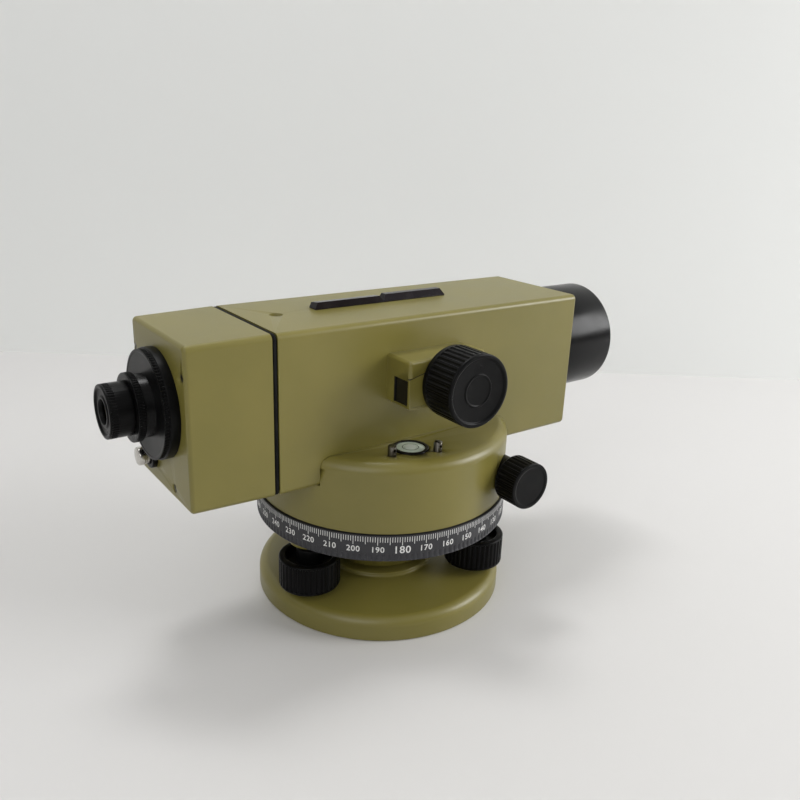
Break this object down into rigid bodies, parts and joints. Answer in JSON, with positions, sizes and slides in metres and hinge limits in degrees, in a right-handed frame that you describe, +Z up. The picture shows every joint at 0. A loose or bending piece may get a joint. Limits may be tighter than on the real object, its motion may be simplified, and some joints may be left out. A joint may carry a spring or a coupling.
{
  "type": "automatic level",
  "caption": "Automatic level: a box telescope with focus and drive knobs turns over a graduated circle, on a tribrach with foot screws and a round base plate.",
  "frame": {"origin": "centre of the base plate's underside, on the vertical axis, at the mouth of the tripod thread", "axes": "+X towards the objective, +Z up, -Y towards the focusing knob"},
  "size_m": [0.2579, 0.1348, 0.1433],
  "materials": {
    "body_paint": "olive-green semi-gloss paint",
    "black_plastic": "black satin moulded plastic",
    "black_metal": "black satin anodised aluminium",
    "circle_black": "charcoal satin",
    "sight_black": "dark semi-gloss",
    "gasket": "black matt",
    "steel": "bright nickel",
    "dark_steel": "darkened steel",
    "brass": "turned",
    "alloy": "machined",
    "optical_glass": "polished",
    "level_glass": "polished"
  },
  "bodies": {
    "base": {"base_plate": "body_paint", "tripod_insert": "brass", "spring_plate": "steel", "spring_plate_screws": "steel"},
    "tribrach": {"tribrach": "body_paint", "foot_bushes": "brass", "vertical_spindle": "dark_steel", "circle_retaining_ring": "steel", "clutch_nut": "brass"},
    "foot_1": {"foot_spindle_1": "dark_steel", "foot_knob_1": "black_plastic"},
    "foot_2": {"foot_spindle_2": "dark_steel", "foot_knob_2": "black_plastic"},
    "foot_3": {"foot_spindle_3": "dark_steel", "foot_knob_3": "black_plastic"},
    "circle": {"graduated_circle": "circle_black"},
    "wheel": {"worm_wheel": "brass"},
    "alidade": {"bearing_plate": "alloy", "bearing_plate_screws": "steel", "bearing_housing": "body_paint", "drive_bushes": "black_metal", "level_case": "black_metal", "level_vial": "level_glass", "level_screws": "dark_steel", "telescope_housing": "body_paint", "open_sight": "sight_black", "housing_gasket": "gasket", "eyepiece_casing": "body_paint", "casing_screws": "dark_steel", "objective_tube": "black_metal", "objective_cell": "black_metal", "objective_front_lens": "optical_glass", "objective_rear_lens": "optical_glass", "lens_retaining_ring": "black_metal", "focus_box": "body_paint", "focus_box_cover": "body_paint", "bubble_prism": "optical_glass", "focus_bush": "brass", "guide_rods": "steel", "compensator_frame": "alloy", "fixed_prisms": "optical_glass", "suspension_bands": "steel", "cover_ring": "black_plastic", "eyepiece_mount": "black_metal", "reticle_glass": "optical_glass", "lock_ring": "black_plastic", "button_collar": "black_plastic"},
    "worm": {"worm_shaft": "steel", "drive_knobs": "black_plastic"},
    "focus_drive": {"focus_shaft": "steel", "focus_knob": "black_plastic"},
    "focus_slide": {"focus_carriage": "brass", "focus_lens": "optical_glass"},
    "pendulum": {"pendulum_yoke": "alloy", "pendulum_prism": "optical_glass"},
    "dioptre": {"dioptre_barrel": "black_plastic"},
    "ocular": {"ocular_cell": "brass", "ocular_lenses": "optical_glass"},
    "button": {"check_button": "steel", "button_spring": "steel"}
  },
  "joints": [
    {"name": "levelling_tilt", "type": "hinge", "parent": "base", "child": "tribrach", "pos_m": [-0.04634, -0.01044, 0.006], "axis": [0.9548, -0.2974, 0], "range_deg": [-1.5, 1.5]},
    {"name": "foot_screw_3", "type": "hinge", "parent": "base", "child": "foot_3", "pos_m": [0.01413, 0.04535, 0.006], "axis": [0, 0, 1], "range_deg": [-840, 840]},
    {"name": "foot_screw_1", "type": "hinge", "parent": "tribrach", "child": "foot_1", "pos_m": [-0.04634, -0.01044, 0.006], "axis": [0, 0, 1], "range_deg": [-1080, 1080]},
    {"name": "foot_screw_2", "type": "hinge", "parent": "tribrach", "child": "foot_2", "pos_m": [0.03221, -0.03491, 0.006], "axis": [0, 0, 1], "range_deg": [-1080, 1080]},
    {"name": "circle_turn", "type": "hinge", "parent": "tribrach", "child": "circle", "pos_m": [0, 0, 0.0475], "axis": [0, 0, 1], "continuous": true},
    {"name": "clutch_turn", "type": "hinge", "parent": "tribrach", "child": "wheel", "pos_m": [0, 0, 0.0659], "axis": [0, 0, 1], "continuous": true},
    {"name": "alidade_turn", "type": "hinge", "parent": "wheel", "child": "alidade", "pos_m": [0, 0, 0.056], "axis": [0, 0, 1], "continuous": true},
    {"name": "worm_turn", "type": "hinge", "parent": "alidade", "child": "worm", "pos_m": [0.0343, 0, 0.0659], "axis": [0, 1, 0], "continuous": true},
    {"name": "focus_turn", "type": "hinge", "parent": "alidade", "child": "focus_drive", "pos_m": [0.0025, -0.045, 0.1151], "axis": [0, 1, 0], "range_deg": [-180, 180]},
    {"name": "focus_travel", "type": "slide", "parent": "alidade", "child": "focus_slide", "axis": [1, 0, 0], "range_m": [-0.00942, 0.00942]},
    {"name": "pendulum_swing", "type": "hinge", "parent": "alidade", "child": "pendulum", "pos_m": [-0.04, 0, 0.129], "axis": [0, 1, 0], "range_deg": [-0.5, 0.5]},
    {"name": "dioptre_turn", "type": "hinge", "parent": "alidade", "child": "dioptre", "pos_m": [-0.1236, 0, 0.1105], "axis": [1, 0, 0], "range_deg": [-137, 137]},
    {"name": "ocular_travel", "type": "slide", "parent": "alidade", "child": "ocular", "axis": [1, 0, 0], "range_m": [-0.00145, 0.00145]},
    {"name": "button_press", "type": "slide", "parent": "alidade", "child": "button", "axis": [1, 0, 0], "range_m": [0, 0.0025], "stiffness_N_per_m": 300, "springref_m": -0.002, "deforming": ["button_spring"]}
  ],
  "couplings": [
    {"joint": "foot_screw_3", "follows": "levelling_tilt", "ratio": -559.6},
    {"joint": "worm_turn", "follows": "alidade_turn", "ratio": 94},
    {"joint": "focus_turn", "follows": "focus_travel", "rad_per_m": -333.33},
    {"joint": "ocular_travel", "follows": "dioptre_turn", "m_per_rad": 0.0006}
  ]
}
